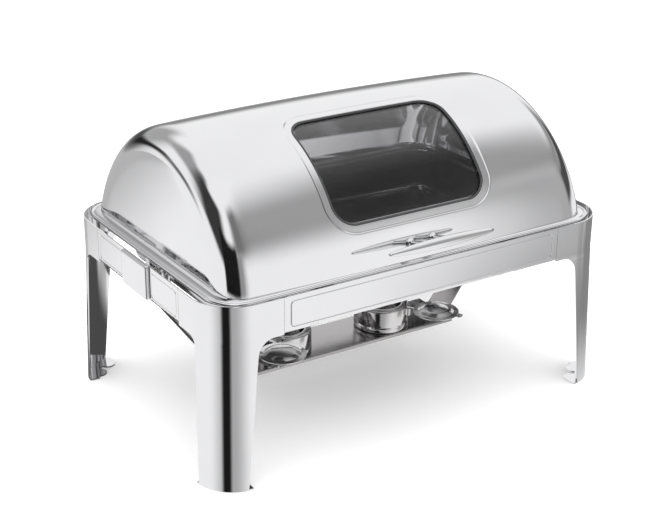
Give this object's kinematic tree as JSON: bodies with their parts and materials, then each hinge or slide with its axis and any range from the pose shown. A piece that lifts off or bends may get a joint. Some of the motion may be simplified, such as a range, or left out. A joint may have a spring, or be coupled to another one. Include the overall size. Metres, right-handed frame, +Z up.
{
  "type": "roll top chafer",
  "caption": "Roll top chafing dish: hinged half-barrel lid with a window and bar handle over a food pan and water pan, on a splayed sheet-steel stand with a burner shelf.",
  "frame": {"origin": "middle of the object's footprint box, on the surface that the feet stand on", "axes": "+X along the length to the right, -Y towards the front with the handle, +Z up"},
  "size_m": [0.65, 0.4676, 0.4235],
  "materials": {
    "polished_steel": "mirror polished stainless steel",
    "satin_steel": "satin stainless steel with a fine rolled grain",
    "burner_steel": "plain spun stainless steel",
    "fastener_steel": "plain steel fasteners",
    "handle_steel": "polished cast stainless steel",
    "window_glass": "clear tempered glass, slightly grey",
    "gasket_rubber": "black silicone gasket",
    "pad_silicone": "dark silicone",
    "bush_plastic": "natural nylon"
  },
  "bodies": {
    "stand": {"bracket_rivets": "fastener_steel", "burner_holder_left": "burner_steel", "burner_holder_right": "burner_steel", "burner_lid_pin_left": "fastener_steel", "burner_lid_pin_right": "fastener_steel", "burner_shelf": "satin_steel", "end_apron_left": "polished_steel", "end_apron_right": "polished_steel", "food_pan": "satin_steel", "front_apron": "polished_steel", "front_brackets": "satin_steel", "fuel_cup_left": "burner_steel", "fuel_cup_right": "burner_steel", "hanger_rivets": "fastener_steel", "hinge_band_left": "polished_steel", "hinge_band_right": "polished_steel", "leg_front_left": "polished_steel", "leg_front_right": "polished_steel", "leg_rear_left": "polished_steel", "leg_rear_right": "polished_steel", "lid_rest_pads": "pad_silicone", "lid_stops": "satin_steel", "pan_cradle": "satin_steel", "pivot_nuts": "fastener_steel", "pivot_spacers": "fastener_steel", "pivot_stud_left": "fastener_steel", "pivot_stud_right": "fastener_steel", "rear_apron": "polished_steel", "rear_seam_straps": "satin_steel", "shelf_hangers": "satin_steel", "splice_nuts": "fastener_steel", "splice_plates": "satin_steel", "splice_studs": "fastener_steel", "water_pan": "satin_steel"},
    "lid": {"handle_grip": "handle_steel", "handle_posts": "handle_steel", "handle_screws": "fastener_steel", "hinge_ear_left": "polished_steel", "hinge_ear_right": "polished_steel", "lid_rim_frame": "polished_steel", "lid_shell": "polished_steel", "pivot_bush_left": "bush_plastic", "pivot_bush_right": "bush_plastic", "window_gasket": "gasket_rubber", "window_glass": "window_glass", "window_retainer": "satin_steel"},
    "burner_lid_left": {"burner_lid_left": "burner_steel"},
    "burner_lid_right": {"burner_lid_right": "burner_steel"}
  },
  "joints": [
    {"name": "lid_roll", "type": "hinge", "parent": "stand", "child": "lid", "pos_m": [0, 0.01466, 0.224], "axis": [-1, 0, 0], "range_deg": [0, 90]},
    {"name": "burner_lid_left_hinge", "type": "hinge", "parent": "stand", "child": "burner_lid_left", "pos_m": [-0.10942, -0.00882, 0.09], "axis": [0, 0, -1], "range_deg": [0, 180]},
    {"name": "burner_lid_right_hinge", "type": "hinge", "parent": "stand", "child": "burner_lid_right", "pos_m": [0.10942, -0.00882, 0.09], "axis": [0, 0, 1], "range_deg": [0, 180]}
  ]
}
